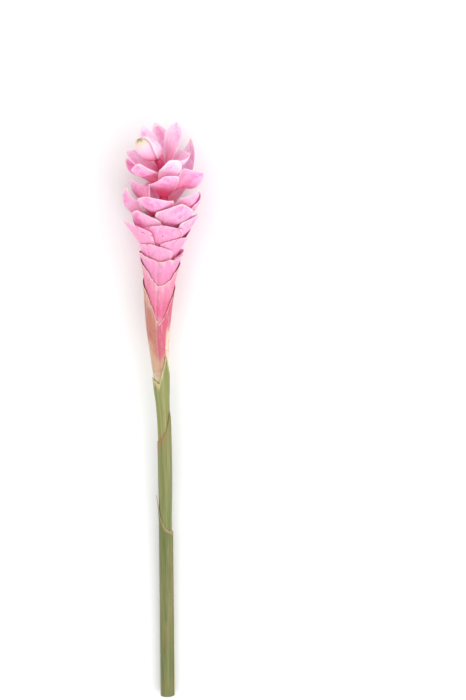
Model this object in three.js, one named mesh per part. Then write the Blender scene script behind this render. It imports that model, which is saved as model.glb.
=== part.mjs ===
// Pink ginger flower: one cut stem with its head of overlapping bracts, lying on a flat surface.
// Millimetres and degrees. The stem runs along +Y from its cut end to the flower head, +Z is up, and the
// surface is Z = 0. Most dimensions are stations: pairs of a place and the value there, with straight lines
// between them.
import * as THREE from "three";

// Axis of the stem and the head, by distance from the cut end
const CUT_END = { x: 0.7, y: -354.55 };
const AXIS_LENGTH = 716;
const AXIS_STEP = 4;
const AXIS_RISE = [[40, 0], [240, 3.4], [625, 4.1], [668, 26], [700, 38]];
const AXIS_LEAN = [
  [290, 0.2], [375, 3.2], [445, 2.8], [500, -3.4], [635, -3], [672, 32], [690, 30], [710, 18],
];

// Stem with its core in the head
const STEM_END = 671;
const STEM_RADIUS = [[226, 5.9], [275, 6.8], [340, 6.9], [391, 7.2], [450, 6.6], [590, 6], [STEM_END, 4]];
const OUTER_RADIUS = 8.6;
const STEM_STEPS = { around: 12, along: 40 };

// Gaps, thicknesses, how softly the head flattens on the surface, and a small step for face directions
const SEAT_GAP = 0.3;
const BRACT_THICK = 1;
const LEAF_THICK = 0.6;
const FLOOR_BLEND = 1.6;
const SMALL_STEP = 1e-3;

// Sheaths wrap the axis until their margins meet. The radius is by distance along the axis. The turn is from
// the front to the sheath's tip, to the right. The rim's distance is by the angle from that tip, and a rim
// whose angles start at 0 is the same on both sides.
const SHEATH_WRAP = 179;
const LEAF_STEPS = { across: 16, along: 14 };
const SHEATH_STEPS = { across: 24, along: 6 };
const SHEATHS = [
  {
    name: "leaf_sheath_lower",
    turn: -80,
    foot: 0,
    thick: LEAF_THICK,
    radius: [[224, 8.3], [240, 9], [256, 11]],
    rim: [[0, 256], [14, 241], [36, 228], [90, 215], [180, 208]],
  },
  {
    name: "leaf_sheath_middle",
    turn: 62,
    foot: 0,
    thick: LEAF_THICK,
    radius: [[226, 7.4], [275, 8.3], [335, 8.5], [362, 9.4]],
    rim: [[0, 362], [20, 350], [45, 338], [90, 328], [180, 322]],
  },
  {
    name: "leaf_sheath_upper",
    turn: 40,
    foot: 0,
    thick: LEAF_THICK,
    radius: [[226, 6.5], [275, 7.4], [345, 7.6], [372, 8.2], [385, 9.2], [398, 10], [432, 12.6]],
    rim: [
      [-180, 390], [-150, 400], [-120, 404], [-80, 401], [-54, 398], [-32, 410], [-14, 420], [0, 432],
      [14, 422], [32, 412], [54, 404], [80, 397], [120, 392], [180, 390],
    ],
  },
  {
    name: "sheath_bract_peach",
    turn: -168,
    foot: 384,
    thick: BRACT_THICK,
    radius: [[384, 8], [391, 8.1], [425, 10.4], [468, 14.8], [503, 18.5], [530, 23.3]],
    rim: [[0, 530], [40, 526], [90, 516], [124, 503], [146, 488], [159, 478], [175, 471]],
  },
  {
    name: "sheath_bract_pink",
    turn: -171,
    foot: 434,
    thick: BRACT_THICK,
    radius: [[434, 7.9], [447, 9.9], [468, 12.6], [503, 16.2], [526, 19.8], [552, 27.2]],
    rim: [[0, 552], [60, 549], [104, 542], [132, 532], [150, 523], [165, 519], [175, 518]],
  },
  {
    name: "sheath_bract_upper",
    turn: -173,
    foot: 489,
    thick: BRACT_THICK,
    radius: [[489, 7.8], [497, 10.5], [512, 14.6], [526, 17.2], [543, 21.4], [556, 27]],
    rim: [[0, 558], [80, 556], [124, 554], [150, 550], [175, 548]],
  },
];

// Fertile bracts follow one spiral. Their stations are by place in it, counted from the front bract. A twist
// turns a bract's open half about its midline, and a skew moves it sideways by a share of its half width.
const SPIRAL_TURN = 138.2;
const FIRST_BRACT = -6;
const LAST_BRACT = 23;
const BRACT = {
  tip: [
    [-6, 560], [-3, 579], [0, 596], [5, 620], [8, 632], [11, 646], [13, 658], [16, 676], [20, 694], [25, 712],
  ],
  length: [[-6, 52], [-4, 56], [0, 60], [5, 61], [10, 60], [15, 58], [20, 56], [25, 54]],
  halfWidth: [[-6, 26], [-4, 28], [-2, 29], [0, 28], [5, 26.5], [10, 25], [15, 20], [20, 14], [25, 13]],
  widestAt: [[-6, 0.8], [-2, 0.8], [4, 0.66]],
  openness: [[-2, 0], [3, 1]],
  baseAngle: [[-6, 19], [-3, 24], [0, 33], [2, 41.5], [5, 53], [12, 50], [16, 44], [20, 32], [25, 26]],
  bellyAngle: [[-6, 21], [-3, 26.5], [0, 35], [2, 43], [5, 56], [12, 60], [16, 46], [20, 34], [25, 26]],
  tipAngle: [[-6, 30], [-3, 34], [0, 32], [3, 16], [6, 4], [12, 0], [16, 4], [25, 14]],
  cup: [[3, 32], [6, 31], [11, 28], [15, 23], [20, 17], [25, 15]],
  twist: [[0, 0]],
  skew: [[0, 0]],
};
const BRACT_STEPS = { across: 6, along: 7 };
const MIDLINE_STEPS = 40;
const ROWS_TO_TIP = 0.6;

// Shares of a bract's length: where it is steepest and widest, and where its clasp turns into the cup
const BELLY_AT = 0.45;
const CLASP_ENDS = 0.12;
const CUP_BEGINS = 0.55;

// How far a bract's foot reaches round the stem each way, the share of its half width at its blunt tip, and
// the two powers of its margin's curve
const CLASP_ANGLE = 60;
const TIP_SHARE = 0.05;
const MARGIN_POWERS = [1.8, 0.9];

// What single bracts add to the values of the spiral, and the place in it with no bract, in front of the bud
const NUDGES = {
  "-6": { halfWidth: -1.5 },
  "-5": { turn: 2, tip: 3, length: 3, halfWidth: -1, baseAngle: -1, bellyAngle: -1 },
  "-4": { halfWidth: -3.5 },
  "-3": { turn: -1, tip: -1, length: -2, halfWidth: -3.5, baseAngle: 1, bellyAngle: -1 },
  "-2": { turn: 20, tip: 10, length: 11, halfWidth: 2.5, baseAngle: 4, bellyAngle: 9, tipAngle: 6 },
  "-1": { halfWidth: -1.5 },
  0: { turn: 3, tip: -2, bellyAngle: 1 },
  3: { turn: 10, tip: -2, length: -2, halfWidth: -1.1, baseAngle: -1, bellyAngle: -2, tipAngle: -3 },
  6: { turn: 17, tip: 6, length: 5, halfWidth: -2.5, bellyAngle: 5, tipAngle: -22, cup: 2, twist: -28 },
  8: {
    turn: 6, tip: -3, length: -3, halfWidth: -0.5, baseAngle: 5,
    bellyAngle: 12, tipAngle: 16, cup: -3, twist: 5, skew: 0.15,
  },
  9: { halfWidth: -1.5 },
  10: { turn: 12, tip: -6, length: -4, bellyAngle: 3, tipAngle: 2 },
  11: {
    turn: -15, tip: 2, length: 1, halfWidth: -3.5, bellyAngle: -11,
    tipAngle: -10, cup: 2, twist: -31, skew: 0.35,
  },
  12: {
    turn: -15, tip: 11, length: 12, halfWidth: -3.5, baseAngle: -1,
    bellyAngle: -11, tipAngle: 31, cup: -2, twist: 16, skew: 0.35,
  },
  13: { turn: -4, tip: 8, halfWidth: -2 },
  14: {
    turn: 5, tip: 13, length: 5, halfWidth: -4,
    baseAngle: -1, bellyAngle: 1, tipAngle: -1, twist: -1,
  },
  15: {
    turn: -12, tip: -22, length: -9, halfWidth: -5, baseAngle: 9,
    bellyAngle: 26, tipAngle: 48, twist: 34, skew: -0.35,
  },
  16: {
    turn: 8, tip: 14, length: 4, halfWidth: 0.5, baseAngle: -25,
    bellyAngle: 3, tipAngle: -29, cup: 4, twist: -8, skew: -0.35,
  },
  17: { turn: -17, tip: 10, length: 14, halfWidth: -4, tipAngle: -3 },
  18: {
    turn: -13, tip: -3, length: 2, halfWidth: -2, baseAngle: 2,
    bellyAngle: 9, tipAngle: -1, cup: 6, twist: 24, skew: -0.1,
  },
  19: {
    turn: 6, tip: 6, length: -6, halfWidth: -0.5, baseAngle: 2,
    bellyAngle: -6, tipAngle: 2, twist: 10, skew: -0.05,
  },
  20: {
    turn: -8, tip: -2, length: -1, halfWidth: 1.5, baseAngle: 22,
    bellyAngle: 26, tipAngle: 8, cup: 2, twist: -11,
  },
  22: {
    turn: -24, tip: -2, length: -6, halfWidth: -3.5,
    baseAngle: 19, bellyAngle: 4, tipAngle: -2, cup: 4,
  },
  23: {
    turn: 24, tip: -43, length: -20, halfWidth: 4,
    baseAngle: 39, bellyAngle: 50, tipAngle: 42, cup: 3,
  },
};
const BARE_PLACE = 21;

// Terminal bud and the young bract that wraps it, by height above the bud's foot
const BUD_FOOT = STEM_END + SEAT_GAP;
const BUD_RADIUS = [[0, 3], [3, 7], [9, 10.6], [17, 12.2], [26, 11.4], [34, 8.2], [39, 4], [41, 0]];
const BUD_LEAN = { right: -0.14, front: 0.22 };
const BUD_STEPS = 12;
const BUD_WRAP_SPREAD = 1.1;
const BUD_WRAP_TURN = 104;
const BUD_WRAP_ANGLE = [[3, 95], [13, 88], [25, 72], [33, 44], [38, 12]];

const STEM_COLOR = 0x93a04f;
const SHEATH_COLORS = {
  leaf_sheath_lower: 0x9aa257,
  leaf_sheath_middle: 0x9fa85c,
  leaf_sheath_upper: 0xa9b268,
  sheath_bract_peach: 0xe9a88f,
  sheath_bract_pink: 0xee8fae,
  sheath_bract_upper: 0xf3a3c3,
};
const LOW_PINK = new THREE.Color(0xf193bb);
const CROWN_PINK = new THREE.Color(0xf9bfdc);
const BUD_COLOR = 0xf5cfdc;
const BUD_WRAP_COLOR = 0xf7bcd8;
const STEM_ROUGHNESS = 0.5;
const BRACT_ROUGHNESS = 0.45;

const { clamp, degToRad, lerp, mapLinear, smoothstep } = THREE.MathUtils;

function between(stations, at) {
  if (at <= stations[0][0]) return stations[0][1];
  for (let i = 1; i < stations.length; i += 1) {
    const [from, low] = stations[i - 1];
    const [to, high] = stations[i];
    if (at <= to) return mapLinear(at, from, to, low, high);
  }
  return stations[stations.length - 1][1];
}

// The directions along the axis, to its right and to its front. The axis leaves the cut end level, rises
// slowly to the head and bends up and to the left in the crown.
function directionsAt(distance) {
  const rise = degToRad(between(AXIS_RISE, distance));
  const lean = degToRad(between(AXIS_LEAN, distance));
  const right = new THREE.Vector3(Math.cos(lean), Math.sin(lean), 0);
  const along = new THREE.Vector3(-Math.sin(lean), Math.cos(lean), 0);
  along.multiplyScalar(Math.cos(rise)).setZ(Math.sin(rise));
  const front = new THREE.Vector3().crossVectors(right, along);
  return { along, right, front };
}

const axisPoints = [new THREE.Vector3(CUT_END.x, CUT_END.y, OUTER_RADIUS)];
for (let distance = AXIS_STEP / 2; distance < AXIS_LENGTH; distance += AXIS_STEP) {
  const last = axisPoints[axisPoints.length - 1];
  axisPoints.push(last.clone().addScaledVector(directionsAt(distance).along, AXIS_STEP));
}

// The point at a distance along the axis, and so far to its right and in front of it
function place(toRight, toFront, distance) {
  const step = clamp(Math.floor(distance / AXIS_STEP), 0, axisPoints.length - 1);
  const { along, right, front } = directionsAt(distance);
  return axisPoints[step]
    .clone()
    .addScaledVector(along, distance - step * AXIS_STEP)
    .addScaledVector(right, toRight)
    .addScaledVector(front, toFront);
}

function placeAround(radius, angle, distance) {
  return place(radius * Math.sin(angle), radius * Math.cos(angle), distance);
}

// The underside of the head flattens softly where it lies on the surface.
function rest(point, thick) {
  const height = point.z - thick / 2;
  if (height < -FLOOR_BLEND) point.z = thick / 2;
  else if (height < FLOOR_BLEND) point.z = thick / 2 + (height + FLOOR_BLEND) ** 2 / (4 * FLOOR_BLEND);
  return point;
}

// Moves every point of a geometry: move gets its x, y and z and returns its new place.
function reshape(geometry, move) {
  const points = geometry.attributes.position;
  for (let i = 0; i < points.count; i += 1) {
    const point = move(points.getX(i), points.getY(i), points.getZ(i));
    points.setXYZ(i, point.x, point.y, point.z);
  }
  geometry.computeVertexNormals();
  return geometry;
}

// A thin shell about a middle surface, whose u runs from foot to tip and v from the left margin to the right
function shell(middle, steps, thick) {
  return reshape(new THREE.BoxGeometry(2, 1, 1, steps.across, steps.along, 1), (v, height, side) => {
    const u = height + 0.5;
    const across = middle(u, v + SMALL_STEP).sub(middle(u, v - SMALL_STEP));
    const along = middle(u + SMALL_STEP, v).sub(middle(u - SMALL_STEP, v));
    const normal = across.cross(along).normalize();
    return middle(u, v).addScaledVector(normal, side * thick);
  });
}

// A bract's midline in its own plane, as points of distance from the axis and distance along it
function midline(bract) {
  const points = [[0, 0]];
  const step = bract.length / MIDLINE_STEPS;
  for (let i = 0; i < MIDLINE_STEPS; i += 1) {
    const u = (i + 0.5) / MIDLINE_STEPS;
    const toBelly = (bract.bellyAngle - bract.baseAngle) * smoothstep(u, 0, BELLY_AT);
    const toTip = (bract.tipAngle - bract.bellyAngle) * smoothstep(u, BELLY_AT, 1);
    const angle = degToRad(bract.baseAngle + toBelly + toTip);
    const [out, up] = points[i];
    points.push([out + step * Math.sin(angle), up + step * Math.cos(angle)]);
  }
  return points;
}

function halfWidthAt(bract, seat, u) {
  const widening = clamp(u / bract.widestAt, 0, 1);
  const opening = lerp(widening, Math.sin((widening * Math.PI) / 2), bract.openness);
  const taper = clamp((u - bract.widestAt) / (1 - bract.widestAt), 0, 1);
  const full = lerp(seat * degToRad(CLASP_ANGLE), bract.halfWidth, opening);
  return full * ((1 - taper ** MARGIN_POWERS[0]) ** MARGIN_POWERS[1] + TIP_SHARE);
}

// The middle surface of a bract: it clasps the axis at its foot and opens into a shallow cup.
function bractSurface(bract) {
  const line = midline(bract);
  const foot = bract.tip - line[MIDLINE_STEPS][1];
  const seat = between(STEM_RADIUS, foot) + SEAT_GAP + BRACT_THICK / 2;
  const turn = degToRad(bract.turn);
  return (row, v) => {
    const u = lerp(row, Math.sin((row * Math.PI) / 2), ROWS_TO_TIP);
    const step = clamp(Math.floor(u * MIDLINE_STEPS), 0, MIDLINE_STEPS - 1);
    const share = u * MIDLINE_STEPS - step;
    const [outFrom, upFrom] = line[step];
    const [outTo, upTo] = line[step + 1];
    const slope = Math.atan2(outTo - outFrom, upTo - upFrom);
    const reach = seat + lerp(outFrom, outTo, share);
    const height = lerp(upFrom, upTo, share);
    const cupped = bract.openness * smoothstep(u, CLASP_ENDS, CUP_BEGINS);
    const sideways = (v + bract.skew * cupped) * halfWidthAt(bract, seat, u);
    const cup = lerp(seat, bract.cup, smoothstep(u, 0, CUP_BEGINS));
    const depth = cup * (1 - Math.cos(sideways / cup));
    const twist = degToRad(bract.twist) * cupped;
    const aside = cup * Math.sin(sideways / cup);
    const inward = depth * Math.cos(twist) - aside * Math.sin(twist);
    const across = aside * Math.cos(twist) + depth * Math.sin(twist);
    const outward = lerp(reach * Math.cos(sideways / reach), reach - inward * Math.cos(slope), cupped);
    const right = lerp(reach * Math.sin(sideways / reach), across, cupped);
    const point = place(
      outward * Math.sin(turn) + right * Math.cos(turn),
      outward * Math.cos(turn) - right * Math.sin(turn),
      foot + height + cupped * inward * Math.sin(slope),
    );
    return rest(point, BRACT_THICK);
  };
}

// The middle surface of a sheath
function sheathSurface(sheath) {
  const twoSided = sheath.rim[0][0] < 0;
  return (u, v) => {
    const angle = v * SHEATH_WRAP;
    const distance = lerp(sheath.foot, between(sheath.rim, twoSided ? angle : Math.abs(angle)), u);
    return placeAround(between(sheath.radius, distance), degToRad(sheath.turn + angle), distance);
  };
}

// The bud leans over as it rises.
function placeInBud(toRight, toFront, height) {
  return place(toRight + BUD_LEAN.right * height, toFront + BUD_LEAN.front * height, BUD_FOOT + height);
}

// The middle surface of the young bract round the bud
function budWrapSurface(u, v) {
  const height = lerp(BUD_WRAP_ANGLE[0][0], BUD_WRAP_ANGLE[BUD_WRAP_ANGLE.length - 1][0], u);
  const radius = between(BUD_RADIUS, height) * BUD_WRAP_SPREAD + SEAT_GAP + BRACT_THICK / 2;
  const angle = degToRad(BUD_WRAP_TURN + v * between(BUD_WRAP_ANGLE, height));
  return placeInBud(radius * Math.sin(angle), radius * Math.cos(angle), height);
}

const flower = new THREE.Group();

function addPiece(name, geometry, color, roughness) {
  const mesh = new THREE.Mesh(geometry, new THREE.MeshStandardMaterial({ color, roughness, metalness: 0 }));
  mesh.name = name;
  flower.add(mesh);
}

// Stem
const stemForm = new THREE.CylinderGeometry(1, 1, 1, STEM_STEPS.around, STEM_STEPS.along);
const stem = reshape(stemForm, (x, y, z) => {
  const distance = (y + 0.5) * STEM_END;
  const radius = between(STEM_RADIUS, distance);
  return place(x * radius, z * radius, distance);
});
addPiece("stem", stem, STEM_COLOR, STEM_ROUGHNESS);

// Leaf sheaths and sheathing bracts
for (const sheath of SHEATHS) {
  const steps = sheath.foot === 0 ? LEAF_STEPS : SHEATH_STEPS;
  const geometry = shell(sheathSurface(sheath), steps, sheath.thick);
  addPiece(sheath.name, geometry, SHEATH_COLORS[sheath.name], STEM_ROUGHNESS);
}

// Fertile bracts, numbered from the foot of the head to the crown
let number = 0;
for (let n = FIRST_BRACT; n <= LAST_BRACT; n += 1) {
  if (n === BARE_PLACE) continue;
  const nudge = NUDGES[n] ?? {};
  const bract = { turn: (nudge.turn ?? 0) - SPIRAL_TURN * n };
  for (const [key, stations] of Object.entries(BRACT)) {
    bract[key] = between(stations, n) + (nudge[key] ?? 0);
  }
  const color = LOW_PINK.clone().lerp(CROWN_PINK, (n - FIRST_BRACT) / (LAST_BRACT - FIRST_BRACT));
  number += 1;
  const name = "bract_" + String(number).padStart(2, "0");
  addPiece(name, shell(bractSurface(bract), BRACT_STEPS, BRACT_THICK), color, BRACT_ROUGHNESS);
}

// Terminal bud with its wrapping bract
const budProfile = BUD_RADIUS.map(([height, radius]) => new THREE.Vector2(radius, height));
const budForm = new THREE.LatheGeometry([new THREE.Vector2(0, 0), ...budProfile], BUD_STEPS);
const bud = reshape(budForm, (x, y, z) => placeInBud(x, z, y));
addPiece("terminal_bud", bud, BUD_COLOR, BRACT_ROUGHNESS);
addPiece("bud_wrap", shell(budWrapSurface, BRACT_STEPS, BRACT_THICK), BUD_WRAP_COLOR, BRACT_ROUGHNESS);

export default flower;
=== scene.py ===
# Pink ginger flower: one cut stem with its head of overlapping bracts, lying on a flat surface.
# The tables hold millimetres and degrees, and every mesh is made in metres. Most sizes are stations: pairs
# of a place and the value there.
import math

import bmesh
import bpy
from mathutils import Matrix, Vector, noise


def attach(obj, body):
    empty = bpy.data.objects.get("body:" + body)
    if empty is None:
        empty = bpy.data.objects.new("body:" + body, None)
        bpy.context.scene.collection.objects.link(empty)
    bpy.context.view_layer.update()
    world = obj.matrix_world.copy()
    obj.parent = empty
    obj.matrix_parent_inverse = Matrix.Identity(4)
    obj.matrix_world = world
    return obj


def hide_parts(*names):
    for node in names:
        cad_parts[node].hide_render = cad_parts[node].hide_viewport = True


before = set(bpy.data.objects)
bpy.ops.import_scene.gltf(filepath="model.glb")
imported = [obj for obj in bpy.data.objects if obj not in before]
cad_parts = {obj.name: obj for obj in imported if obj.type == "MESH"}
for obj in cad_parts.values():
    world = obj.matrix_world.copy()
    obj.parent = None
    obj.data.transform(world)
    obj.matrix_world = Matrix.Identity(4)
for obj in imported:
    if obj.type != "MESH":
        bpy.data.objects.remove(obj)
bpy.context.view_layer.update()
MM = 0.001


# Camera
# It looks down on the lying flower from the side of the head, 2.1 metres away, as the photograph does.
CAMERA_TARGET = Vector((0.0824, 0.0826, 0.03))
CAMERA_DISTANCE = 2.1
CAMERA_TILT = math.radians(8)
SENSOR_WIDTH = 36
PHOTO_WIDTH = 466
FOCAL_PIXELS = 1750

camera_data = bpy.data.cameras.new("camera")
camera_data.sensor_fit = "HORIZONTAL"
camera_data.sensor_width = SENSOR_WIDTH
camera_data.lens = SENSOR_WIDTH * (FOCAL_PIXELS / PHOTO_WIDTH)
camera_data.clip_end = 20
camera = bpy.data.objects.new("camera", camera_data)
towards_camera = Vector((0, math.sin(CAMERA_TILT), math.cos(CAMERA_TILT)))
camera.location = CAMERA_TARGET + CAMERA_DISTANCE * towards_camera
camera.rotation_euler = (-CAMERA_TILT, 0, 0)
bpy.context.scene.collection.objects.link(camera)
bpy.context.scene.camera = camera


# Stem
# The solid green core of the flower. It is cut off square at the foot, and in the head it turns deep pink and
# carries all the bracts. It lies level at first, rises slowly to the head and bends over in the crown.
CUT_END = Vector((0.7, -354.55, 8.6))
AXIS_LENGTH = 716
AXIS_STEP = 4
AXIS_RISE = [(40, 0), (240, 3.4), (625, 4.1), (668, 26), (700, 38)]
AXIS_LEAN = [(290, 0.2), (375, 3.2), (445, 2.8), (500, -3.4), (635, -3), (672, 32), (690, 30), (710, 18)]
STEM_END = 671
STEM_RADIUS = [(226, 5.9), (275, 6.8), (340, 6.9), (391, 7.2), (450, 6.6), (590, 6), (STEM_END, 4)]
STEM_SIDES = 48
STEM_RINGS = 220
STEM_SWELL = 0.02
SWELL_LENGTH = 40
CUT_RIM = 0.12


def clamp(value, low=0.0, high=1.0):
    return min(max(value, low), high)


def mix(a, b, share):
    return a + (b - a) * share


def ease(value, low, high):
    share = clamp((value - low) / (high - low))
    return share * share * (3 - 2 * share)


def between(stations, at):
    """The value at a place between stations, in straight lines."""
    if at <= stations[0][0]:
        return stations[0][1]
    for (start, low), (end, high) in zip(stations, stations[1:]):
        if at <= end:
            return mix(low, high, (at - start) / (end - start))
    return stations[-1][1]


def directions_at(distance):
    """The directions along the axis, to its right and to its front."""
    rise = math.radians(between(AXIS_RISE, distance))
    lean = math.radians(between(AXIS_LEAN, distance))
    right = Vector((math.cos(lean), math.sin(lean), 0))
    along = Vector((-math.sin(lean) * math.cos(rise), math.cos(lean) * math.cos(rise), math.sin(rise)))
    return along, right, right.cross(along)


axis_points = [CUT_END.copy()]
for step in range(AXIS_LENGTH // AXIS_STEP):
    axis_points.append(axis_points[-1] + AXIS_STEP * directions_at((step + 0.5) * AXIS_STEP)[0])


def place(to_right, to_front, distance):
    """The point, in metres, at a distance along the axis and so far to its right and in front of it."""
    step = int(clamp(distance // AXIS_STEP, 0, len(axis_points) - 1))
    along, right, front = directions_at(distance)
    point = axis_points[step] + (distance - step * AXIS_STEP) * along
    return (point + to_right * right + to_front * front) * MM


def place_around(radius, angle, distance):
    return place(radius * math.sin(angle), radius * math.cos(angle), distance)


def new_piece(name, bm, materials):
    """Turns a bmesh into a piece that rides on the flower, with its materials."""
    mesh = bpy.data.meshes.new(name)
    bm.to_mesh(mesh)
    bm.free()
    mesh.shade_smooth()
    for material in materials:
        mesh.materials.append(material)
    piece = bpy.data.objects.new(name, mesh)
    bpy.context.scene.collection.objects.link(piece)
    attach(piece, "root")
    return piece


class Finish:
    """A procedural material that is built node by node."""

    def __init__(self, name):
        self.material = bpy.data.materials.new(name)
        self.material.use_nodes = True
        self.tree = self.material.node_tree
        self.shader = self.tree.nodes["Principled BSDF"]

    def add(self, kind, inputs=None, **settings):
        """Adds a node. An input is a value or another node's output socket."""
        node = self.tree.nodes.new(kind)
        for key, value in settings.items():
            setattr(node, key, value)
        for key, value in (inputs or {}).items():
            if isinstance(value, bpy.types.NodeSocket):
                self.tree.links.new(value, node.inputs[key])
            else:
                node.inputs[key].default_value = value
        return node

    def join(self, output, name):
        self.tree.links.new(output, self.shader.inputs[name])

    def sums(self, operation, *values):
        """A Math node's result."""
        return self.add("ShaderNodeMath", dict(enumerate(values)), operation=operation).outputs[0]

    def ramp(self, value, stops):
        """A colour ramp's colour. Each stop is a place and a red, green and blue."""
        node = self.add("ShaderNodeValToRGB", {0: value})
        ramp = node.color_ramp
        ramp.interpolation = "EASE"
        while len(ramp.elements) < len(stops):
            ramp.elements.new(1)
        for element, (at, color) in zip(ramp.elements, stops):
            element.position = at
            element.color = (*color, 1)
        return node.outputs[0]

    def span(self, value, low, high, to_low=0.0, to_high=1.0):
        """The value moved smoothly from one range to another, and kept inside it."""
        inputs = {0: value, 1: low, 2: high, 3: to_low, 4: to_high}
        return self.add("ShaderNodeMapRange", inputs, interpolation_type="SMOOTHSTEP").outputs[0]

    def blend(self, share, first, second):
        """Two colours mixed by a share."""
        inputs = {0: share}
        for socket, color in ((6, first), (7, second)):
            inputs[socket] = color if isinstance(color, bpy.types.NodeSocket) else (*color, 1)
        return self.add("ShaderNodeMix", inputs, data_type="RGBA").outputs[2]

    def grain(self, coordinates, scale, stretch=(1, 1, 1), detail=3.0, roughness=0.5, shift=(0, 0, 0)):
        """Noise from 0 to 1, stretched along the axes of its coordinates."""
        mapping = self.add("ShaderNodeMapping", {"Vector": coordinates, "Scale": stretch, "Location": shift})
        inputs = {"Vector": mapping.outputs[0], "Scale": scale, "Detail": detail, "Roughness": roughness}
        return self.add("ShaderNodeTexNoise", inputs).outputs[0]

    def bump(self, height, strength, distance, below=None):
        """The normal of a surface with this height, on top of another bump."""
        inputs = {"Height": height, "Strength": strength, "Distance": distance}
        if below is not None:
            inputs["Normal"] = below
        return self.add("ShaderNodeBump", inputs).outputs[0]


def stem_finish():
    finish = Finish("stem_skin")
    coordinates = finish.add("ShaderNodeTexCoord").outputs["Object"]
    along = finish.add("ShaderNodeSeparateXYZ", {0: coordinates}).outputs[1]
    fibres = finish.grain(coordinates, 420, (1, 0.03, 1), 4)
    blotches = finish.grain(coordinates, 30, (1, 0.4, 1), 3)
    green_stops = [(0.25, (0.08, 0.085, 0.02)), (0.55, (0.15, 0.155, 0.045)), (0.8, (0.25, 0.24, 0.09))]
    green = finish.ramp(fibres, green_stops)
    pale = finish.blend(finish.span(blotches, 0.45, 0.75, 0, 0.5), green, (0.3, 0.26, 0.12))
    pink = finish.ramp(fibres, [(0.2, (0.42, 0.02, 0.08)), (0.7, (0.66, 0.08, 0.2))])
    in_head = finish.span(along, 0.06, 0.15)
    finish.join(finish.blend(in_head, pale, pink), "Base Color")
    finish.join(finish.span(fibres, 0.2, 0.8, 0.38, 0.6), "Roughness")
    finish.join(finish.bump(fibres, 0.5, 0.0003), "Normal")
    return finish.material


def cut_finish():
    finish = Finish("cut_end")
    coordinates = finish.add("ShaderNodeTexCoord").outputs["Object"]
    pores = finish.grain(coordinates, 900, (1, 0.1, 1), 3)
    stops = [(0.3, (0.2, 0.17, 0.07)), (0.5, (0.42, 0.42, 0.2)), (0.75, (0.62, 0.6, 0.36))]
    finish.join(finish.ramp(pores, stops), "Base Color")
    finish.join(finish.bump(pores, 0.6, 0.0004), "Normal")
    finish.shader.inputs["Roughness"].default_value = 0.75
    return finish.material


bm = bmesh.new()
bmesh.ops.create_cone(bm, cap_ends=True, segments=STEM_SIDES, radius1=1, radius2=1, depth=1)
long_edges = [e for e in bm.edges if abs(e.verts[0].co.z - e.verts[1].co.z) > 0.5]
bmesh.ops.subdivide_edges(bm, edges=long_edges, cuts=STEM_RINGS - 1, use_grid_fill=True)
for face in bm.faces:
    face.material_index = 1 if len(face.verts) > 4 and face.calc_center_median().z < 0 else 0
for end in [f for f in bm.faces if f.material_index == 1]:
    bmesh.ops.inset_region(bm, faces=[end], thickness=CUT_RIM)
for vert in bm.verts:
    distance = (vert.co.z + 0.5) * STEM_END
    swell = 1 + STEM_SWELL * noise.noise(Vector((vert.co.x, vert.co.y, distance / SWELL_LENGTH)))
    radius = between(STEM_RADIUS, distance) * swell
    vert.co = place(vert.co.x * radius, vert.co.y * radius, distance)
bmesh.ops.recalc_face_normals(bm, faces=bm.faces)
stem = new_piece("stem_core", bm, [stem_finish(), cut_finish()])
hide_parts("stem")


# Leaf sheaths
# Three long green leaf bases, rolled round the stem one inside the other. The blades were trimmed off, and
# the tips and margins have dried. One margin of each lies over the other, which shows as a pale line.
SEAT_GAP = 0.3
LEAF_THICK = 0.6
SHEATH_WRAP = 179
RIM_WAVES = 26
MARGIN_SHARE = 0.3
LEAF_SHEATHS = {
    "leaf_sheath_lower": {
        "turn": -80,
        "foot": 0,
        "radius": [(224, 8.3), (240, 9), (256, 11)],
        "rim": [(0, 256), (14, 241), (36, 228), (90, 215), (180, 208)],
    },
    "leaf_sheath_middle": {
        "turn": 62,
        "foot": 0,
        "radius": [(226, 7.4), (275, 8.3), (335, 8.5), (362, 9.4)],
        "rim": [(0, 362), (20, 350), (45, 338), (90, 328), (180, 322)],
    },
    "leaf_sheath_upper": {
        "turn": 40,
        "foot": 0,
        "radius": [(226, 6.5), (275, 7.4), (345, 7.6), (372, 8.2), (385, 9.2), (398, 10), (432, 12.6)],
        "rim": [
            (-180, 390), (-150, 400), (-120, 404), (-80, 401), (-54, 398), (-32, 410), (-14, 420), (0, 432),
            (14, 422), (32, 412), (54, 404), (80, 397), (120, 392), (180, 390),
        ],
    },
}
LEAF_GRID = (72, 200)


def smoothed(stations, at):
    """The value at a place between stations, in one smooth curve that doesn't overshoot them."""
    if at <= stations[0][0]:
        return stations[0][1]
    if at >= stations[-1][0]:
        return stations[-1][1]
    slopes = [(b[1] - a[1]) / (b[0] - a[0]) for a, b in zip(stations, stations[1:])]
    leans = [slopes[0]]
    for before, after in zip(slopes, slopes[1:]):
        leans.append(0 if before * after <= 0 else 2 * before * after / (before + after))
    leans.append(slopes[-1])
    index = next(i for i, station in enumerate(stations[1:]) if at <= station[0])
    (start, low), (end, high) = stations[index], stations[index + 1]
    width = end - start
    t = (at - start) / width
    curve = (2 * t**3 - 3 * t**2 + 1) * low + (3 * t**2 - 2 * t**3) * high
    return curve + width * ((t**3 - 2 * t**2 + t) * leans[index] + (t**3 - t**2) * leans[index + 1])


def grid_on(surface, steps):
    """A grid laid on a middle surface. Its UV map runs across from 0 to 1 and from foot to tip."""
    bm = bmesh.new()
    bm.loops.layers.uv.new("UVMap")
    bmesh.ops.create_grid(bm, x_segments=steps[0], y_segments=steps[1], size=1, calc_uvs=True)
    for vert in bm.verts:
        vert.co = surface((vert.co.y + 1) / 2, vert.co.x)
    return bm


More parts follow.
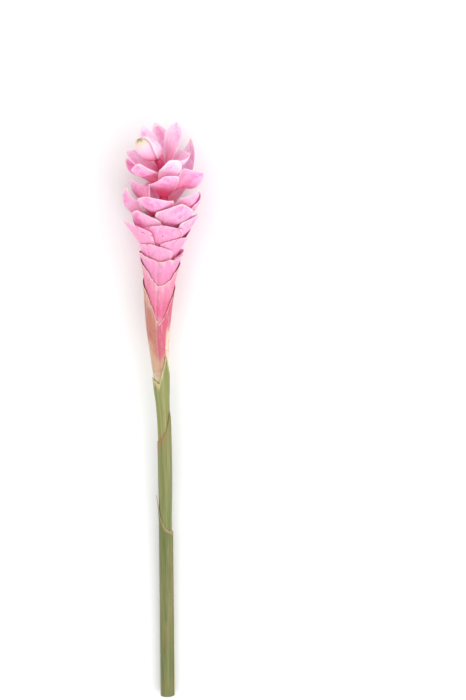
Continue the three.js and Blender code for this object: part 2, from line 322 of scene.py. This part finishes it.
def give_thickness(piece, thick, levels=1):
    """Gives a sheet its thickness, thinner towards its margins where it has the group for that."""
    wall = piece.modifiers.new("wall", "SOLIDIFY")
    wall.thickness = thick * MM
    wall.offset = 0
    wall.use_even_offset = False
    if "thick" in piece.vertex_groups:
        wall.vertex_group = "thick"
        wall.thickness_vertex_group = MARGIN_SHARE
    if levels:
        rounding = piece.modifiers.new("rounding", "SUBSURF")
        rounding.levels = levels
        rounding.render_levels = levels


def leaf_finish(name, dull, mid, pale, tip):
    finish = Finish(name)
    texture = finish.add("ShaderNodeTexCoord")
    coordinates = texture.outputs["Object"]
    uv = finish.add("ShaderNodeSeparateXYZ", {0: texture.outputs["UV"]})
    across, along = uv.outputs[0], uv.outputs[1]
    fibres = finish.grain(texture.outputs["UV"], 60, (0.8, 0.07, 1), 5, 0.65)
    broad = finish.grain(texture.outputs["UV"], 9, (1.8, 0.3, 1), 3)
    spots = finish.grain(coordinates, 120, (1, 0.1, 1), 4, 0.7)
    color = finish.ramp(fibres, [(0.3, dull), (0.52, mid), (0.75, pale)])
    color = finish.blend(finish.span(broad, 0.4, 0.75, 0, 0.45), color, pale)
    color = finish.blend(finish.span(spots, 0.5, 0.66, 0, 0.65), color, (0.28, 0.19, 0.06))
    edge = finish.sums("MINIMUM", across, finish.sums("SUBTRACT", 1, across))
    ragged = finish.sums("MULTIPLY", finish.sums("SUBTRACT", fibres, 0.5), 0.05)
    dry_side = finish.span(finish.sums("ADD", edge, ragged), 0.004, 0.03, 1, 0)
    dry_tip = finish.span(finish.sums("ADD", along, ragged), 0.975, 0.998)
    color = finish.blend(dry_side, color, (0.55, 0.47, 0.24))
    color = finish.blend(finish.sums("MULTIPLY", dry_tip, 0.85), color, tip)
    finish.join(color, "Base Color")
    finish.join(finish.span(fibres, 0.25, 0.8, 0.36, 0.58), "Roughness")
    ribs = finish.bump(fibres, 0.55, 0.00035)
    finish.join(finish.bump(spots, 0.2, 0.0003, ribs), "Normal")
    return finish.material


LEAF_COLORS = {
    "leaf_sheath_lower": {
        "dull": (0.055, 0.078, 0.016), "mid": (0.125, 0.145, 0.035), "pale": (0.27, 0.25, 0.1),
        "tip": (0.42, 0.28, 0.15),
    },
    "leaf_sheath_middle": {
        "dull": (0.075, 0.11, 0.022), "mid": (0.165, 0.19, 0.048), "pale": (0.34, 0.31, 0.14),
        "tip": (0.3, 0.16, 0.06),
    },
    "leaf_sheath_upper": {
        "dull": (0.1, 0.14, 0.03), "mid": (0.205, 0.235, 0.06), "pale": (0.42, 0.37, 0.18),
        "tip": (0.56, 0.46, 0.24),
    },
}


def sheath_surface(sheath, overlap, lift, ragged, hug=0):
    """The middle surface of a sheath. Its left margin runs on over the right one.

    The overlap is in degrees. The lift raises the outer margin, ragged is how far the rim strays, and hug is
    how far the rim leans in to the head.
    """
    two_sided = sheath["rim"][0][0] < 0

    def surface(u, v):
        over = ease(-v, 0.75, 1)
        angle = v * SHEATH_WRAP - overlap * over
        rim = smoothed(sheath["rim"], v * SHEATH_WRAP if two_sided else abs(v * SHEATH_WRAP))
        rim += ragged * noise.noise(Vector((v * RIM_WAVES, sheath["turn"], 0.5))) * u
        distance = mix(sheath["foot"], rim, u)
        radius = smoothed(sheath["radius"], distance) + lift * over - hug * u * u
        return place_around(radius, math.radians(sheath["turn"] + angle), distance)

    return surface


LEAF_OVERLAP = 24
LEAF_LIFT = 0.75
LEAF_RAGGED = 1.5
for name, sheath in LEAF_SHEATHS.items():
    bm = grid_on(sheath_surface(sheath, LEAF_OVERLAP, LEAF_LIFT, LEAF_RAGGED), LEAF_GRID)
    piece = new_piece(name + "_skin", bm, [leaf_finish(name, **LEAF_COLORS[name])])
    give_thickness(piece, LEAF_THICK, levels=0)
    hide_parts(name)


# Sheathing bracts
# Three flowerless bracts wrap the foot of the head, a peach and cream one with two pink ones above it. They
# are waxy, with cream dried margins, and each opens in a low V or U towards the camera.
BRACT_THICK = 1
SHEATHING_BRACTS = {
    "sheath_bract_peach": {
        "turn": -168,
        "foot": 384,
        "radius": [(384, 8), (391, 8.1), (425, 10.4), (468, 14.8), (503, 18.5), (530, 23.3)],
        "hug": 1.2,
        "rim": [(0, 530), (40, 526), (90, 516), (124, 503), (146, 488), (159, 478), (175, 471)],
    },
    "sheath_bract_pink": {
        "turn": -171,
        "foot": 434,
        "radius": [(434, 7.9), (447, 9.9), (468, 12.6), (503, 16.2), (526, 19.8), (552, 27.2)],
        "hug": 1.2,
        "rim": [(0, 552), (60, 549), (104, 542), (132, 532), (150, 523), (165, 519), (175, 518)],
    },
    "sheath_bract_upper": {
        "turn": -173,
        "foot": 489,
        "radius": [(489, 7.8), (497, 10.5), (512, 14.6), (526, 17.2), (543, 21.4), (556, 27)],
        "hug": 0.7,
        "rim": [(0, 558), (80, 556), (124, 554), (150, 550), (175, 548)],
    },
}
SHEATHING_GRID = (110, 60)
SHEATHING_STOPS = {
    "sheath_bract_peach": [
        (0.05, (0.4, 0.42, 0.19)), (0.2, (0.54, 0.47, 0.29)), (0.38, (0.55, 0.34, 0.21)),
        (0.6, (0.46, 0.18, 0.12)), (0.85, (0.47, 0.19, 0.13)), (1, (0.56, 0.33, 0.24)),
    ],
    "sheath_bract_pink": [
        (0.1, (0.68, 0.24, 0.27)), (0.4, (0.74, 0.29, 0.36)), (0.62, (0.7, 0.13, 0.24)),
        (0.85, (0.76, 0.23, 0.36)), (1, (0.8, 0.36, 0.46)),
    ],
    "sheath_bract_upper": [
        (0.2, (0.76, 0.14, 0.3)), (0.6, (0.78, 0.23, 0.41)), (0.9, (0.82, 0.29, 0.5)),
        (1, (0.86, 0.44, 0.58)),
    ],
}


DRY_BROWN = (0.4, 0.2, 0.12)
SCAR_RED = (0.42, 0.08, 0.12)
DRY_CREAM = (0.9, 0.76, 0.55)
# Margin colour: partly the bracts' own pale edge, partly a painted highlight where the rolled margins catch
# the light.
PALE_MARGIN_AND_HIGHLIGHT = (0.98, 0.7, 0.82)
PEACH_BLUSH = ((0.6, 0.11, 0.17), -0.0115, -0.004, 0.001)


def bract_finish(name, stops, rim, dry, streaks=1.0, mottle=0.5, flecks=0.0, through=0.6, blush=None):
    """The skin of a bract, coloured from foot to tip, with fine veins along it.

    The rim is the colour, width and share of its pale margin, which is partly a painted highlight along the
    rolled edge, and dry the width and share of its cream end.
    Streaks is how strong the veins are, and mottle how strong the deep pink patch in its middle is. The
    flecks are the share of brown flecks and thin scars, and through is the share of light that enters the
    skin. A blush is a colour that comes in towards the right, with the two places between which it does, in
    metres, and the place from which a cream strip covers it.
    """
    finish = Finish(name)
    texture = finish.add("ShaderNodeTexCoord")
    coordinates = texture.outputs["Object"]
    uv = finish.add("ShaderNodeSeparateXYZ", {0: texture.outputs["UV"]})
    across, along = uv.outputs[0], uv.outputs[1]
    veins = finish.grain(texture.outputs["UV"], 34, (1.1, 0.1, 1), 4, 0.7)
    threads = finish.grain(texture.outputs["UV"], 110, (1.2, 0.06, 1), 3, 0.6)
    broad = finish.grain(coordinates, 75, (1, 0.7, 1), 4, 0.6)
    cloudy = finish.grain(coordinates, 150, (1, 0.8, 1), 4, 0.65, (3, 1, 2))
    fine = finish.grain(coordinates, 900, (1, 1, 1), 2)
    wander = finish.sums("MULTIPLY", finish.sums("SUBTRACT", broad, 0.5), 0.3)
    vein_shift = finish.sums("MULTIPLY", finish.sums("SUBTRACT", veins, 0.5), 0.3 * streaks)
    at = finish.sums("ADD", finish.sums("ADD", along, wander), vein_shift)
    color = finish.ramp(at, stops)
    if blush is not None:
        blush_color, blush_from, blush_to, cream_from = blush
        place_across = finish.add("ShaderNodeSeparateXYZ", {0: coordinates}).outputs[0]
        wandering = finish.sums("ADD", place_across, finish.sums("MULTIPLY", wander, 0.01))
        reddening = finish.span(wandering, blush_from, blush_to)
        share = finish.sums("MULTIPLY", reddening, finish.span(at, 0.42, 0.66))
        color = finish.blend(share, color, blush_color)
        paling = finish.span(wandering, cream_from, cream_from + 0.002)
        strip = finish.sums("MULTIPLY", paling, finish.span(at, 0.8, 0.6))
        color = finish.blend(finish.sums("MULTIPLY", strip, 0.7), color, DRY_CREAM)
    color = finish.blend(finish.span(veins, 0.5, 0.68, 0, 0.5 * streaks), color, (0.98, 0.68, 0.82))
    color = finish.blend(finish.span(veins, 0.3, 0.48, 0.45 * streaks, 0), color, (0.85, 0.2, 0.4))
    color = finish.blend(finish.span(threads, 0.35, 0.5, 0.25 * streaks, 0), color, (0.82, 0.2, 0.4))
    off_middle = finish.sums("ABSOLUTE", finish.sums("SUBTRACT", across, 0.5))
    middle = finish.sums("MULTIPLY", finish.span(off_middle, 0.05, 0.4, 1, 0), finish.span(cloudy, 0.42, 0.6))
    patch = finish.sums("MULTIPLY", middle, finish.span(along, 0.3, 0.6, 0, mottle))
    color = finish.blend(patch, color, (0.88, 0.2, 0.46))
    side = finish.sums("SUBTRACT", 0.5, off_middle)
    end = finish.sums("SUBTRACT", 1, along)
    ragged = finish.sums("SUBTRACT", cloudy, 0.5)
    rim_color, rim_width, rim_share = rim
    edge = finish.sums("ADD", finish.sums("MINIMUM", side, end), finish.sums("MULTIPLY", ragged, rim_width))
    # The pale margin band: partly the bract's own edge colour, partly a painted highlight on the rolled rim.
    color = finish.blend(finish.span(edge, 0.2 * rim_width, rim_width, rim_share, 0), color, rim_color)
    dry_width, dry_share = dry
    end = finish.sums("ADD", end, finish.sums("MULTIPLY", ragged, dry_width * 2))
    color = finish.blend(finish.span(end, 0, dry_width, dry_share, 0), color, DRY_CREAM)
    fleck = finish.sums("MULTIPLY", finish.span(cloudy, 0.54, 0.6), finish.span(edge, 0.01, 0.09, flecks, 0))
    color = finish.blend(fleck, color, DRY_BROWN)
    bends = finish.grain(coordinates, 55, (1, 1, 1), 1.5, 0.5, (5, 2, 7))
    thin = finish.span(finish.sums("ABSOLUTE", finish.sums("SUBTRACT", bends, 0.5)), 0.008, 0.03, 1, 0)
    scar = finish.sums("MULTIPLY", thin, finish.span(broad, 0.5, 0.58, 0, flecks))
    color = finish.blend(scar, color, SCAR_RED)
    finish.join(color, "Base Color")
    finish.join(finish.span(broad, 0.3, 0.7, 0.42, 0.58), "Roughness")
    ribs = finish.bump(threads, 0.25, 0.0003, finish.bump(veins, 0.4, 0.0006))
    dents = finish.bump(cloudy, 0.3, 0.001, ribs)
    finish.join(finish.bump(fine, 0.12, 0.0001, dents), "Normal")
    shader = finish.shader.inputs
    shader["Subsurface Weight"].default_value = through
    shader["Subsurface Radius"].default_value = (0.0045, 0.0025, 0.003)
    shader["Subsurface Scale"].default_value = 1
    shader["Specular IOR Level"].default_value = 0.3
    return finish.material


def thin_margins(piece, steps):
    """A vertex group that is full in the middle of a sheet and empty at its free margins."""
    group = piece.vertex_groups.new(name="thick")
    columns, rows = steps[0] + 1, steps[1] + 1
    for index in range(columns * rows):
        v = 2 * (index % columns) / (columns - 1) - 1
        u = (index // columns) / (rows - 1)
        weight = (1 - clamp(abs(v)) ** 3) * (1 - clamp((u - 0.8) / 0.2) ** 2)
        group.add([index], weight, "REPLACE")


SHEATHING_OVERLAP = 10
SHEATHING_LIFT = 0.6
SHEATHING_RAGGED = 2.5
for name, sheath in SHEATHING_BRACTS.items():
    surface = sheath_surface(sheath, SHEATHING_OVERLAP, SHEATHING_LIFT, SHEATHING_RAGGED, sheath["hug"])
    bm = grid_on(surface, SHEATHING_GRID)
    blush = PEACH_BLUSH if name == "sheath_bract_peach" else None
    skin = bract_finish(
        name, SHEATHING_STOPS[name], (PALE_MARGIN_AND_HIGHLIGHT, 0.01, 0), (0.016, 0.85),
        streaks=0.45, mottle=0.2, flecks=0.3, through=0.2, blush=blush,
    )
    piece = new_piece(name + "_skin", bm, [skin])
    thin_margins(piece, SHEATHING_GRID)
    give_thickness(piece, BRACT_THICK)
    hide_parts(name)


# Fertile bracts
# Waxy boat-shaped bracts on one spiral round the core, each clasping it with its foot. The low ones stay shut
# round the head with dry ragged margins, and the others open into shallow cups that grow paler to the tip.
SPIRAL_TURN = 138.2
FIRST_BRACT = -6
LAST_BRACT = 23
BARE_PLACE = 21
FIRST_OPEN = 1
# Bracts that take the paler crown skin: the young ones near the tip, and place 12, which sits in shade. Part
# of their paleness is painted light that lifts the shade on them, as on place 12 and on place 19 below the
# bud.
PALE_AND_SHADED_PLACES = {12, 17, 18, 19, 20, 22, 23}
BRACT = {
    "tip": [
        (-6, 560), (-3, 579), (0, 596), (5, 620), (8, 632),
        (11, 646), (13, 658), (16, 676), (20, 694), (25, 712),
    ],
    "length": [(-6, 52), (-4, 56), (0, 60), (5, 61), (10, 60), (15, 58), (20, 56), (25, 54)],
    "half_width": [(-6, 26), (-4, 28), (-2, 29), (0, 28), (5, 26.5), (10, 25), (15, 20), (20, 14), (25, 13)],
    "widest_at": [(-6, 0.8), (-2, 0.8), (4, 0.66)],
    "openness": [(-2, 0), (3, 1)],
    "base_angle": [(-6, 19), (-3, 24), (0, 33), (2, 41.5), (5, 53), (12, 50), (16, 44), (20, 32), (25, 26)],
    "belly_angle": [(-6, 21), (-3, 26.5), (0, 35), (2, 43), (5, 56), (12, 60), (16, 46), (20, 34), (25, 26)],
    "tip_angle": [(-6, 30), (-3, 34), (0, 32), (3, 16), (6, 4), (12, 0), (16, 4), (25, 14)],
    "cup": [(3, 32), (6, 31), (11, 28), (15, 23), (20, 17), (25, 15)],
    "twist": [(0, 0)],
    "skew": [(0, 0)],
}
NUDGES = {
    -6: {"half_width": -1.5},
    -5: {"turn": 2, "tip": 3, "length": 3, "half_width": -1, "base_angle": -1, "belly_angle": -1},
    -4: {"half_width": -3.5},
    -3: {"turn": -1, "tip": -1, "length": -2, "half_width": -3.5, "base_angle": 1, "belly_angle": -1},
    -2: {
        "turn": 20, "tip": 10, "length": 11, "half_width": 2.5,
        "base_angle": 4, "belly_angle": 9, "tip_angle": 6,
    },
    -1: {"half_width": -1.5},
    0: {"turn": 3, "tip": -2, "belly_angle": 1},
    3: {
        "turn": 10, "tip": -2, "length": -2, "half_width": -1.1,
        "base_angle": -1, "belly_angle": -2, "tip_angle": -3,
    },
    6: {
        "turn": 17, "tip": 6, "length": 5, "half_width": -2.5,
        "belly_angle": 5, "tip_angle": -22, "cup": 2, "twist": -28,
    },
    8: {
        "turn": 6, "tip": -3, "length": -3, "half_width": -0.5, "base_angle": 5,
        "belly_angle": 12, "tip_angle": 16, "cup": -3, "twist": 5, "skew": 0.15,
    },
    9: {"half_width": -1.5},
    10: {"turn": 12, "tip": -6, "length": -4, "belly_angle": 3, "tip_angle": 2},
    11: {
        "turn": -15, "tip": 2, "length": 1, "half_width": -3.5, "belly_angle": -11,
        "tip_angle": -10, "cup": 2, "twist": -31, "skew": 0.35,
    },
    12: {
        "turn": -15, "tip": 11, "length": 12, "half_width": -3.5, "base_angle": -1,
        "belly_angle": -11, "tip_angle": 31, "cup": -2, "twist": 16, "skew": 0.35,
    },
    13: {"turn": -4, "tip": 8, "half_width": -2},
    14: {
        "turn": 5, "tip": 13, "length": 5, "half_width": -4,
        "base_angle": -1, "belly_angle": 1, "tip_angle": -1, "twist": -1,
    },
    15: {
        "turn": -12, "tip": -22, "length": -9, "half_width": -5, "base_angle": 9,
        "belly_angle": 26, "tip_angle": 48, "twist": 34, "skew": -0.35,
    },
    16: {
        "turn": 8, "tip": 14, "length": 4, "half_width": 0.5, "base_angle": -25,
        "belly_angle": 3, "tip_angle": -29, "cup": 4, "twist": -8, "skew": -0.35,
    },
    17: {"turn": -17, "tip": 10, "length": 14, "half_width": -4, "tip_angle": -3},
    18: {
        "turn": -13, "tip": -3, "length": 2, "half_width": -2, "base_angle": 2,
        "belly_angle": 9, "tip_angle": -1, "cup": 6, "twist": 24, "skew": -0.1,
    },
    19: {
        "turn": 6, "tip": 6, "length": -6, "half_width": -0.5, "base_angle": 2,
        "belly_angle": -6, "tip_angle": 2, "twist": 10, "skew": -0.05,
    },
    20: {
        "turn": -8, "tip": -2, "length": -1, "half_width": 1.5, "base_angle": 22,
        "belly_angle": 26, "tip_angle": 8, "cup": 2, "twist": -11,
    },
    22: {
        "turn": -24, "tip": -2, "length": -6, "half_width": -3.5,
        "base_angle": 19, "belly_angle": 4, "tip_angle": -2, "cup": 4,
    },
    23: {
        "turn": 24, "tip": -43, "length": -20, "half_width": 4,
        "base_angle": 39, "belly_angle": 50, "tip_angle": 42, "cup": 3,
    },
}
BELLY_AT = 0.45
CLASP_ENDS = 0.12
CUP_BEGINS = 0.55
CLASP_ANGLE = 60
TIP_SHARE = 0.05
MARGIN_POWERS = (1.8, 0.9)
ROWS_TO_TIP = 0.6
FLOOR_BLEND = 1.6
MIDLINE_STEPS = 40
BRACT_GRID = (30, 36)


def rest(point, thick):
    """The underside of the head flattens softly where it lies on the surface."""
    height = point.z / MM - thick / 2
    if height < -FLOOR_BLEND:
        point.z = thick / 2 * MM
    elif height < FLOOR_BLEND:
        point.z = (thick / 2 + (height + FLOOR_BLEND) ** 2 / (4 * FLOOR_BLEND)) * MM
    return point


def midline(bract):
    """A bract's midline in its own plane, as points of distance from the axis and distance along it."""
    points = [(0, 0)]
    step = bract["length"] / MIDLINE_STEPS
    for i in range(MIDLINE_STEPS):
        u = (i + 0.5) / MIDLINE_STEPS
        to_belly = (bract["belly_angle"] - bract["base_angle"]) * ease(u, 0, BELLY_AT)
        to_tip = (bract["tip_angle"] - bract["belly_angle"]) * ease(u, BELLY_AT, 1)
        angle = math.radians(bract["base_angle"] + to_belly + to_tip)
        out, up = points[-1]
        points.append((out + step * math.sin(angle), up + step * math.cos(angle)))
    return points


def half_width_at(bract, seat, u):
    widening = clamp(u / bract["widest_at"])
    opening = mix(widening, math.sin(widening * math.pi / 2), bract["openness"])
    taper = clamp((u - bract["widest_at"]) / (1 - bract["widest_at"]))
    full = mix(seat * math.radians(CLASP_ANGLE), bract["half_width"], opening)
    return full * ((1 - taper ** MARGIN_POWERS[0]) ** MARGIN_POWERS[1] + TIP_SHARE)


def bract_surface(bract):
    """The middle surface of a bract: it clasps the axis at its foot and opens into a shallow cup."""
    line = midline(bract)
    foot = bract["tip"] - line[-1][1]
    seat = between(STEM_RADIUS, foot) + SEAT_GAP + BRACT_THICK / 2
    turn = math.radians(bract["turn"])
    openness = bract["openness"]

    def surface(row, v):
        u = mix(row, math.sin(row * math.pi / 2), ROWS_TO_TIP)
        step = int(clamp(u * MIDLINE_STEPS // 1, 0, MIDLINE_STEPS - 1))
        share = u * MIDLINE_STEPS - step
        (out_from, up_from), (out_to, up_to) = line[step], line[step + 1]
        slope = math.atan2(out_to - out_from, up_to - up_from)
        reach = seat + mix(out_from, out_to, share)
        height = mix(up_from, up_to, share)
        cupped = openness * ease(u, CLASP_ENDS, CUP_BEGINS)
        sideways = (v + bract["skew"] * cupped) * half_width_at(bract, seat, u)
        cup = mix(seat, bract["cup"], ease(u, 0, CUP_BEGINS))
        depth = cup * (1 - math.cos(sideways / cup))
        aside = cup * math.sin(sideways / cup)
        twist = math.radians(bract["twist"]) * cupped
        inward = depth * math.cos(twist) - aside * math.sin(twist)
        across = aside * math.cos(twist) + depth * math.sin(twist)
        outward = mix(reach * math.cos(sideways / reach), reach - inward * math.cos(slope), cupped)
        right = mix(reach * math.sin(sideways / reach), across, cupped)
        point = place(
            outward * math.sin(turn) + right * math.cos(turn),
            outward * math.cos(turn) - right * math.sin(turn),
            foot + height + cupped * inward * math.sin(slope),
        )
        return rest(point, BRACT_THICK)

    return surface


LOW_STOPS = [
    (0.08, (0.9, 0.2, 0.36)), (0.4, (0.92, 0.31, 0.5)), (0.75, (0.93, 0.37, 0.58)),
    (0.95, (0.95, 0.46, 0.64)),
]
OPEN_STOPS = [
    (0.1, (0.95, 0.15, 0.29)), (0.33, (0.97, 0.32, 0.5)), (0.58, (0.97, 0.42, 0.63)),
    (0.85, (0.97, 0.48, 0.68)), (1, (0.98, 0.62, 0.77)),
]
# The crown bracts' own paler colour, made paler still as painted light to lift the shade that falls on them
# from the bud.
CROWN_STOPS = [
    (0.06, (0.95, 0.2, 0.34)), (0.22, (0.97, 0.42, 0.6)), (0.42, (0.98, 0.6, 0.78)),
    (0.7, (0.98, 0.7, 0.86)), (1, (0.99, 0.82, 0.9)),
]
low_skin = bract_finish(
    "low_bract", LOW_STOPS, (PALE_MARGIN_AND_HIGHLIGHT, 0.04, 0.5), (0.06, 0.95), mottle=0.4, flecks=0.75, through=0.35,
)
open_skin = bract_finish(
    "open_bract", OPEN_STOPS, (PALE_MARGIN_AND_HIGHLIGHT, 0.08, 0.8), (0.12, 0.6), mottle=0.75, flecks=0.15,
)
crown_skin = bract_finish(
    "crown_bract", CROWN_STOPS, (PALE_MARGIN_AND_HIGHLIGHT, 0.08, 0.8), (0.15, 0.55), mottle=0.5,
)

number = 0
for n in range(FIRST_BRACT, LAST_BRACT + 1):
    if n == BARE_PLACE:
        continue
    nudge = NUDGES.get(n, {})
    bract = {key: between(stations, n) + nudge.get(key, 0) for key, stations in BRACT.items()}
    bract["turn"] = nudge.get("turn", 0) - SPIRAL_TURN * n
    number += 1
    node = f"bract_{number:02d}"
    bm = grid_on(bract_surface(bract), BRACT_GRID)
    shut = n < FIRST_OPEN
    # The paler crown skin also goes on bracts that sit in shade, as painted light.
    skin = low_skin if shut else crown_skin if n in PALE_AND_SHADED_PLACES else open_skin
    piece = new_piece(node + "_skin", bm, [skin])
    thin_margins(piece, BRACT_GRID)
    give_thickness(piece, BRACT_THICK)
    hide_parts(node)


# Terminal bud
# The shut tip of the head: a smooth egg of young bracts, cream-green with a brown spot at its top, with one
# young bract wrapped round its right side.
BUD_FOOT = STEM_END + SEAT_GAP
BUD_RADIUS = [(0, 3), (3, 7), (9, 10.6), (17, 12.2), (26, 11.4), (34, 8.2), (39, 4), (41, 0)]
BUD_LEAN_RIGHT = -0.14
BUD_LEAN_FRONT = 0.22
BUD_SIDES = 64
BUD_RINGS = 48
BUD_POINT = 0.02
WELD = 0.0001
BUD_WRAP_SPREAD = 1.1
BUD_WRAP_TURN = 104
BUD_WRAP_ANGLE = [(3, 95), (13, 88), (25, 72), (33, 44), (38, 12)]


def place_in_bud(to_right, to_front, height):
    """The bud leans over as it rises."""
    return place(to_right + BUD_LEAN_RIGHT * height, to_front + BUD_LEAN_FRONT * height, BUD_FOOT + height)


def bud_finish():
    finish = Finish("bud_skin")
    texture = finish.add("ShaderNodeTexCoord")
    uv = finish.add("ShaderNodeSeparateXYZ", {0: texture.outputs["UV"]})
    veins = finish.grain(texture.outputs["UV"], 30, (2.5, 0.4, 1), 4, 0.6)
    broad = finish.grain(texture.outputs["Object"], 70, (1, 1, 1), 3)
    shift = finish.sums("MULTIPLY", finish.sums("SUBTRACT", veins, 0.5), 0.25)
    at = finish.sums("ADD", uv.outputs[1], shift)
    stops = [
        (0.1, (0.84, 0.24, 0.42)), (0.4, (0.93, 0.44, 0.62)), (0.68, (0.93, 0.54, 0.7)),
        (0.84, (0.88, 0.6, 0.62)), (0.94, (0.7, 0.6, 0.42)), (1, (0.26, 0.16, 0.09)),
    ]
    finish.join(finish.ramp(at, stops), "Base Color")
    finish.join(finish.span(broad, 0.3, 0.7, 0.36, 0.5), "Roughness")
    ribs = finish.bump(veins, 0.3, 0.0004)
    finish.join(finish.bump(broad, 0.25, 0.001, ribs), "Normal")
    finish.shader.inputs["Subsurface Weight"].default_value = 0.15
    finish.shader.inputs["Subsurface Radius"].default_value = (0.004, 0.002, 0.002)
    finish.shader.inputs["Subsurface Scale"].default_value = 1
    return finish.material


def bud_surface(u, v):
    height = u * BUD_RADIUS[-1][0]
    radius = max(smoothed(BUD_RADIUS, height), BUD_POINT)
    return place_in_bud(radius * math.sin(v * math.pi), radius * math.cos(v * math.pi), height)


def bud_wrap_surface(u, v):
    height = mix(BUD_WRAP_ANGLE[0][0], BUD_WRAP_ANGLE[-1][0], u)
    radius = smoothed(BUD_RADIUS, height) * BUD_WRAP_SPREAD + SEAT_GAP + BRACT_THICK / 2
    angle = math.radians(BUD_WRAP_TURN + v * smoothed(BUD_WRAP_ANGLE, height))
    return place_in_bud(radius * math.sin(angle), radius * math.cos(angle), height)


bm = grid_on(bud_surface, (BUD_SIDES, BUD_RINGS))
bmesh.ops.remove_doubles(bm, verts=bm.verts, dist=WELD)
bmesh.ops.holes_fill(bm, edges=bm.edges, sides=BUD_SIDES)
bmesh.ops.recalc_face_normals(bm, faces=bm.faces)
bud = new_piece("bud", bm, [bud_finish()])
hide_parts("terminal_bud")

bm = grid_on(bud_wrap_surface, BRACT_GRID)
wrap = new_piece("bud_wrap_skin", bm, [crown_skin])
thin_margins(wrap, BRACT_GRID)
give_thickness(wrap, BRACT_THICK)
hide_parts("bud_wrap")


# Floor
# A plain pale sheet that the flower lies on. It is the stage, not a piece of the part.
FLOOR_HALF = 4


def floor_finish():
    finish = Finish("floor")
    finish.shader.inputs["Base Color"].default_value = (0.86, 0.86, 0.86, 1)
    finish.shader.inputs["Roughness"].default_value = 0.9
    return finish.material


bm = bmesh.new()
bmesh.ops.create_grid(bm, x_segments=1, y_segments=1, size=FLOOR_HALF)
mesh = bpy.data.meshes.new("floor")
bm.to_mesh(mesh)
bm.free()
mesh.materials.append(floor_finish())
floor = bpy.data.objects.new("floor", mesh)
bpy.context.scene.collection.objects.link(floor)


# Light
# Soft daylight: a panel on each side of the head, one at the foot, and a pale room all round.
LIGHTS = {
    "key": {"place": (-1.1, 0.5, 1.6), "size": 1.4, "watts": 7, "color": (1, 0.985, 0.96)},
    "fill": {"place": (0.9, -1.2, 1.5), "size": 1.6, "watts": 11, "color": (0.97, 0.98, 1)},
    "side": {"place": (1.5, 0.6, 1.2), "size": 1.4, "watts": 9, "color": (1, 0.99, 0.98)},
}
for name, light in LIGHTS.items():
    data = bpy.data.lights.new(name, "AREA")
    data.size = light["size"]
    data.energy = light["watts"]
    data.color = light["color"]
    lamp = bpy.data.objects.new(name, data)
    lamp.location = light["place"]
    lamp.rotation_euler = (Vector((0, 0.1, 0)) - lamp.location).to_track_quat("-Z", "Y").to_euler()
    bpy.context.scene.collection.objects.link(lamp)

world = bpy.data.worlds.new("room")
world.use_nodes = True
world.node_tree.nodes["Background"].inputs["Color"].default_value = (1, 1, 1, 1)
world.node_tree.nodes["Background"].inputs["Strength"].default_value = 1
bpy.context.scene.world = world
bpy.context.scene.view_settings.view_transform = "Standard"
